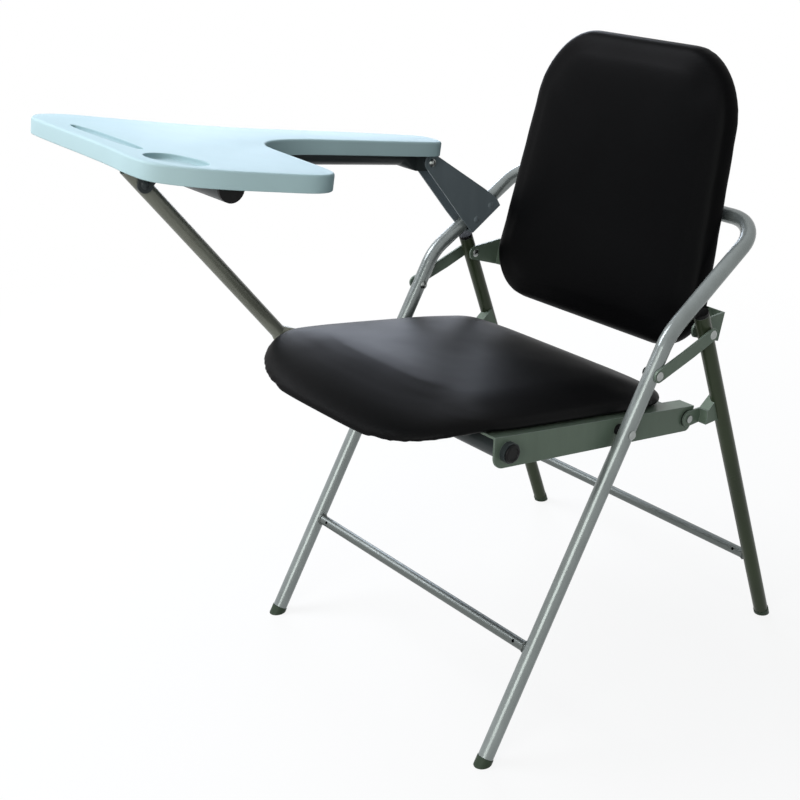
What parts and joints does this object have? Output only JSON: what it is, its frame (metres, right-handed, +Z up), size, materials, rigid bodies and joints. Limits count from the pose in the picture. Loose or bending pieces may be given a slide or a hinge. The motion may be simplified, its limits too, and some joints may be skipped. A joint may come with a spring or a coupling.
{
  "type": "training chair",
  "caption": "Folding training chair with black cushions, silver bent-tube frame and a pale blue writing tablet",
  "frame": {"origin": "middle of the footprint box of the whole chair, on the floor", "axes": "+X is the sitter's left, the chair faces -Y, +Z is up"},
  "size_m": [0.5832, 0.83, 0.808],
  "materials": {
    "frame_paint": "silver grey paint, satin",
    "sheet_paint": "grey green silver paint on sheet steel",
    "bar_steel": "bright drawn steel",
    "rivet_steel": "bright zinc plate",
    "dark_paint": "dark slate paint, satin",
    "arm_paint": "near black paint, satin",
    "strut_paint": "dark olive grey paint, satin",
    "foot_plastic": "dark green grey plastic",
    "cap_plastic": "black plastic",
    "pad_rubber": "black rubber",
    "plywood": "raw plywood",
    "back_shell": "black moulded board",
    "black_leather": "black leatherette, soft sheen",
    "tablet_plastic": "pale blue moulded plastic"
  },
  "bodies": {
    "front_frame": {"front_frame": "frame_paint", "front_crossbar": "bar_steel", "front_feet": "foot_plastic", "tablet_bracket": "dark_paint", "bracket_bolt": "rivet_steel", "bracket_nut": "rivet_steel", "bracket_rivets": "dark_paint", "seat_pivot_pins": "rivet_steel", "seat_pivot_bushes": "cap_plastic", "link_pins": "rivet_steel"},
    "seat": {"seat_rail_left": "sheet_paint", "seat_rail_right": "sheet_paint", "seat_front_tube": "bar_steel", "seat_tube_caps": "cap_plastic", "seat_rear_stay": "sheet_paint", "seat_board": "plywood", "seat_cushion": "black_leather", "seat_screws": "rivet_steel"},
    "upper_links": {"link_left": "sheet_paint", "link_right": "sheet_paint", "link_rivets": "rivet_steel"},
    "rear_legs": {"rear_leg_left": "frame_paint", "rear_leg_right": "frame_paint", "rear_crossbar": "bar_steel", "rear_feet": "foot_plastic", "rear_leg_caps": "cap_plastic", "rear_lugs": "sheet_paint", "rear_pivot_pins": "rivet_steel", "rear_pivot_washers": "cap_plastic"},
    "backrest": {"back_board": "back_shell", "back_cushion": "black_leather", "back_ear_left": "sheet_paint", "back_ear_right": "sheet_paint", "back_screws": "rivet_steel", "back_pads": "pad_rubber", "back_pins": "rivet_steel"},
    "tablet": {"tablet_arm": "arm_paint", "arm_bush": "cap_plastic", "arm_cap": "cap_plastic", "tablet_board": "tablet_plastic", "tablet_screws": "rivet_steel", "strut_lug": "arm_paint", "strut_rivet": "rivet_steel"},
    "strut": {"strut_tube": "strut_paint"}
  },
  "joints": [
    {"name": "seat_fold", "type": "hinge", "parent": "front_frame", "child": "seat", "pos_m": [0.05287, 0.08131, 0.3818], "axis": [1, 0, 0], "range_deg": [-94, 0]},
    {"name": "link_swing", "type": "hinge", "parent": "front_frame", "child": "upper_links", "pos_m": [0.05287, 0.12117, 0.4492], "axis": [1, 0, 0], "range_deg": [-107, 0]},
    {"name": "rear_legs_swing", "type": "hinge", "parent": "seat", "child": "rear_legs", "pos_m": [0.05287, 0.21361, 0.35865], "axis": [1, 0, 0], "range_deg": [0, 59]},
    {"name": "backrest_tilt", "type": "hinge", "parent": "rear_legs", "child": "backrest", "pos_m": [0.05287, 0.21806, 0.4794], "axis": [1, 0, 0], "range_deg": [0, 31.1]},
    {"name": "tablet_lift", "type": "hinge", "parent": "front_frame", "child": "tablet", "pos_m": [-0.16212, 0.12756, 0.6287], "axis": [1, 0, 0], "range_deg": [-67.2, 0]},
    {"name": "strut_swing", "type": "hinge", "parent": "tablet", "child": "strut", "pos_m": [-0.16212, -0.31447, 0.66905], "axis": [1, 0, 0], "range_deg": [0, 39.5]}
  ],
  "couplings": [
    {"joint": "link_swing", "follows": "seat_fold", "ratio": 1.1364},
    {"joint": "rear_legs_swing", "follows": "seat_fold", "ratio": -0.6269},
    {"joint": "backrest_tilt", "follows": "seat_fold", "ratio": -0.33},
    {"joint": "tablet_lift", "follows": "seat_fold", "ratio": 0.714},
    {"joint": "strut_swing", "follows": "seat_fold", "ratio": -0.42}
  ]
}
